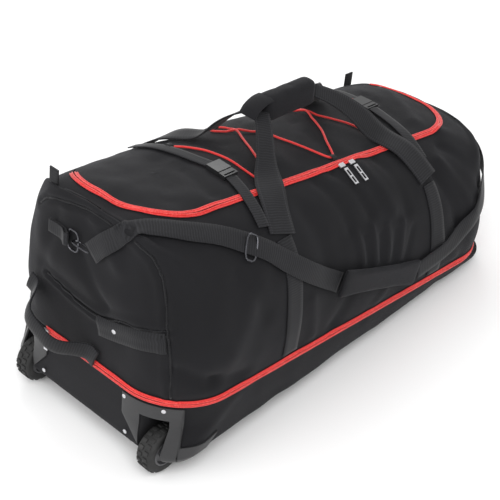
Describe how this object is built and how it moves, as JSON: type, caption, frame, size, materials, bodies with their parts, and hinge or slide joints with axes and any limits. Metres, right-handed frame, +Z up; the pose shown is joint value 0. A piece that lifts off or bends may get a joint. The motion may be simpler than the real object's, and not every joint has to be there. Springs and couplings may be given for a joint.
{
  "type": "rolling duffel bag",
  "caption": "Wheeled duffel with zipped base compartment, U-shaped zipped lid with elastic lacing, carry handles, shoulder strap and end grab handles.",
  "frame": {"origin": "on the floor under the middle of the whole bag", "axes": "+X along the bag, away from the wheels; -Y is the front side with the shoulder strap; +Z up"},
  "size_m": [1.009, 0.4819, 0.499],
  "materials": {
    "ballistic_fabric": "matte woven polyester",
    "pocket_fabric": "matte lighter weave",
    "webbing": "woven webbing",
    "zip_tape": "red zipper tape",
    "bungee": "red braided cord",
    "housing_plastic": "moulded, fine grain",
    "buckle_plastic": "moulded acetal",
    "tyre": "matt rubber",
    "hub_plastic": "moulded",
    "nickel": "nickel plated",
    "board": "stiff board"
  },
  "bodies": {
    "base": {"base_tray": "ballistic_fabric", "base_board": "board", "base_zip_tape": "zip_tape", "wheel_housing_front": "housing_plastic", "wheel_housing_rear": "housing_plastic", "axle_front": "nickel", "axle_rear": "nickel", "rear_skid": "housing_plastic"},
    "wheel_front": {"tyre_front": "tyre", "hub_front": "hub_plastic"},
    "wheel_rear": {"tyre_rear": "tyre", "hub_rear": "hub_plastic"},
    "base_zip_slider": {"base_slider": "nickel"},
    "base_zip_pull": {"base_pull": "nickel"},
    "bag": {"bag_shell": "ballistic_fabric", "divider_panel": "pocket_fabric", "end_pocket": "pocket_fabric", "end_patch": "webbing", "bag_zip_tape": "zip_tape", "top_zip_tape": "zip_tape", "strip_front_left": "webbing", "strip_front_right": "webbing", "strip_rear_left": "webbing", "strip_rear_right": "webbing", "zip_tab_wheel_end": "webbing", "zip_tab_far_end": "webbing", "d_ring_wheel_end": "nickel", "d_ring_far_end": "nickel", "d_ring_tab_wheel_end": "webbing", "d_ring_tab_far_end": "webbing", "end_handle_wheel_end": "webbing", "end_handle_far_end": "webbing", "shoulder_strap_wheel_end": "webbing", "shoulder_strap_far_end": "webbing", "shoulder_pad": "pocket_fabric", "tri_glide": "nickel", "snap_hook_wheel_end": "nickel", "snap_hook_far_end": "nickel"},
    "top_zip_slider_left": {"top_slider_left": "nickel"},
    "top_zip_slider_right": {"top_slider_right": "nickel"},
    "top_zip_pull_left": {"top_pull_left": "nickel"},
    "top_zip_pull_right": {"top_pull_right": "nickel"},
    "lid": {"lid_panel": "ballistic_fabric", "lid_zip_tape": "zip_tape", "lacing_cord": "bungee", "cord_lock_body": "buckle_plastic", "strap_left_sewn": "webbing", "strap_right_sewn": "webbing", "buckle_left_socket": "buckle_plastic", "buckle_right_socket": "buckle_plastic"},
    "cord_lock_plunger": {"cord_lock_button": "buckle_plastic"},
    "strap_left": {"strap_left_pull": "webbing", "buckle_left_plug": "buckle_plastic"},
    "strap_right": {"strap_right_pull": "webbing", "buckle_right_plug": "buckle_plastic"},
    "front_handle": {"handle_front_left": "webbing", "handle_front_right": "webbing"},
    "rear_handle": {"handle_rear_left": "webbing", "handle_rear_right": "webbing", "grip_wrap": "pocket_fabric"}
  },
  "joints": [
    {"name": "wheel_front_spin", "type": "hinge", "parent": "base", "child": "wheel_front", "pos_m": [-0.44009, -0.165, 0.044], "axis": [0, 1, 0], "continuous": true},
    {"name": "wheel_rear_spin", "type": "hinge", "parent": "base", "child": "wheel_rear", "pos_m": [-0.44009, 0.165, 0.044], "axis": [0, 1, 0], "continuous": true},
    {"name": "base_open", "type": "hinge", "parent": "base", "child": "bag", "pos_m": [-0.0099, 0.232, 0.10294], "axis": [-0.9905, 0, 0.1374], "range_deg": [0, 75]},
    {"name": "base_zip_slide", "type": "slide", "parent": "base", "child": "base_zip_slider", "axis": [0, -1, 0], "range_m": [0, 0.18]},
    {"name": "base_pull_swing", "type": "hinge", "parent": "base_zip_slider", "child": "base_zip_pull", "pos_m": [-0.466, 0.096, 0.16067], "axis": [0, 1, 0], "range_deg": [0, 90]},
    {"name": "lid_open", "type": "hinge", "parent": "bag", "child": "lid", "pos_m": [0.02335, 0.158, 0.34259], "axis": [-0.9759, 0, 0.2184], "range_deg": [0, 75]},
    {"name": "top_zip_slide_left", "type": "slide", "parent": "bag", "child": "top_zip_slider_left", "axis": [-0.974, 0, 0.2264], "range_m": [0, 0.13]},
    {"name": "top_zip_slide_right", "type": "slide", "parent": "bag", "child": "top_zip_slider_right", "axis": [0.974, 0, -0.2264], "range_m": [0, 0.08]},
    {"name": "top_pull_swing_left", "type": "hinge", "parent": "top_zip_slider_left", "child": "top_zip_pull_left", "pos_m": [0.0719, -0.1213, 0.35777], "axis": [-0.9905, 0, 0.1374], "range_deg": [0, 110]},
    {"name": "top_pull_swing_right", "type": "hinge", "parent": "top_zip_slider_right", "child": "top_zip_pull_right", "pos_m": [0.09929, -0.1213, 0.35144], "axis": [-0.9905, 0, 0.1374], "range_deg": [0, 110]},
    {"name": "cord_lock_press", "type": "slide", "parent": "lid", "child": "cord_lock_plunger", "axis": [0, -1, 0], "range_m": [0, 0.0035], "stiffness_N_per_m": 120, "springref_m": -0.002},
    {"name": "rear_handle_swing", "type": "hinge", "parent": "bag", "child": "rear_handle", "pos_m": [0.01943, 0.186, 0.3143], "axis": [-0.9779, 0, 0.2089], "range_deg": [0, 75]},
    {"name": "front_handle_swing", "type": "hinge", "parent": "bag", "child": "front_handle", "pos_m": [0.02108, -0.176, 0.32624], "axis": [0.9771, 0, -0.2129], "range_deg": [0, 94], "deforming": ["handle_front_left", "handle_front_right"]},
    {"name": "strap_left_fold", "type": "hinge", "parent": "bag", "child": "strap_left", "pos_m": [-0.18594, -0.164, 0.38405], "axis": [0.9762, 0, -0.2168], "range_deg": [0, 124], "deforming": ["strap_left_pull", "buckle_left_plug"]},
    {"name": "strap_right_fold", "type": "hinge", "parent": "bag", "child": "strap_right", "pos_m": [0.26495, -0.15, 0.29387], "axis": [0.9754, 0, -0.2203], "range_deg": [0, 124], "deforming": ["strap_right_pull", "buckle_right_plug"]}
  ],
  "couplings": [
    {"joint": "rear_handle_swing", "follows": "lid_open", "ratio": 1},
    {"joint": "front_handle_swing", "follows": "lid_open", "ratio": 1.25},
    {"joint": "strap_left_fold", "follows": "lid_open", "ratio": 1.65},
    {"joint": "strap_right_fold", "follows": "lid_open", "ratio": 1.65}
  ]
}
